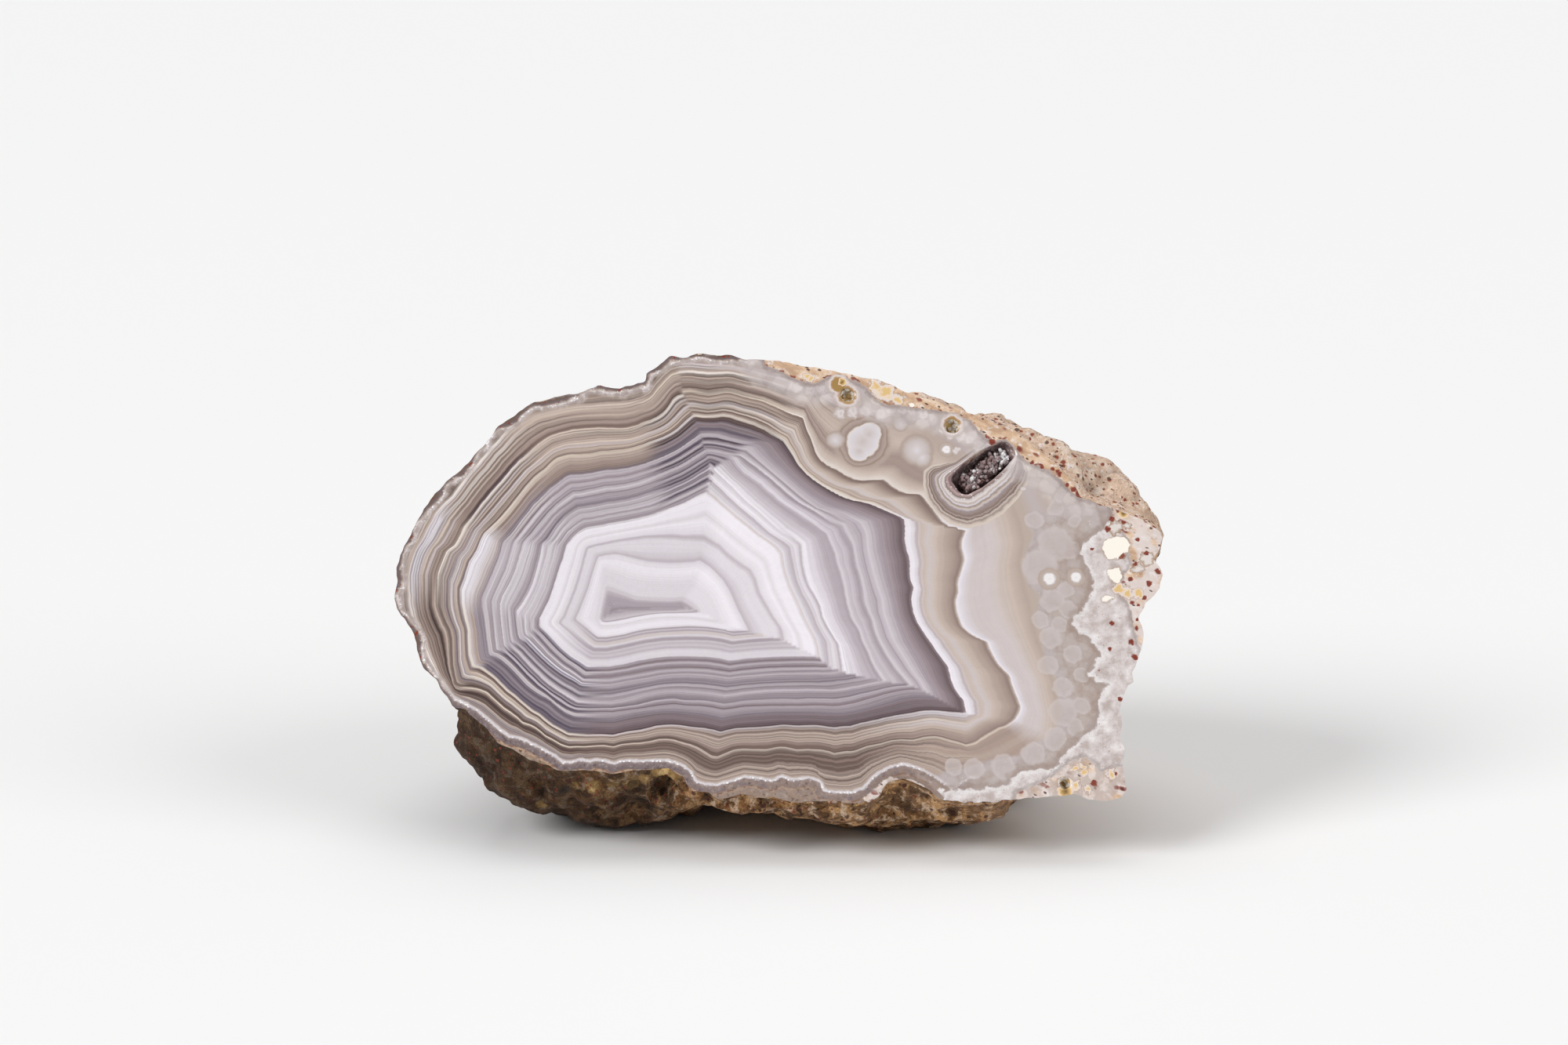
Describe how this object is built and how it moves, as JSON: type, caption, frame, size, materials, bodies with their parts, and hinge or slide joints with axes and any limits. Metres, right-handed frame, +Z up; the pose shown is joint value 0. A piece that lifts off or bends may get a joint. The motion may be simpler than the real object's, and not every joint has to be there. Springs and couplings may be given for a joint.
{
  "type": "polished agate nodule half",
  "caption": "Cut and polished half of a banded agate nodule with a rough rind, leaning back on a flat spot, with a crystal-lined hollow in its face.",
  "frame": {"origin": "on the resting surface, under the middle of the stone's bounding box", "axes": "+Z up, +X along the stone's length towards the squarer end, -Y towards the viewer, whom the polished face leans away from"},
  "size_m": [0.0768, 0.042, 0.0453],
  "materials": {
    "banded_agate": "polished face with grey, lilac and cream bands, and a rough brown and cream rind",
    "druse": "dark sparkling quartz crystals"
  },
  "bodies": {
    "root": {"agate_stone": "banded_agate", "druse_crust": "druse"}
  },
  "joints": []
}
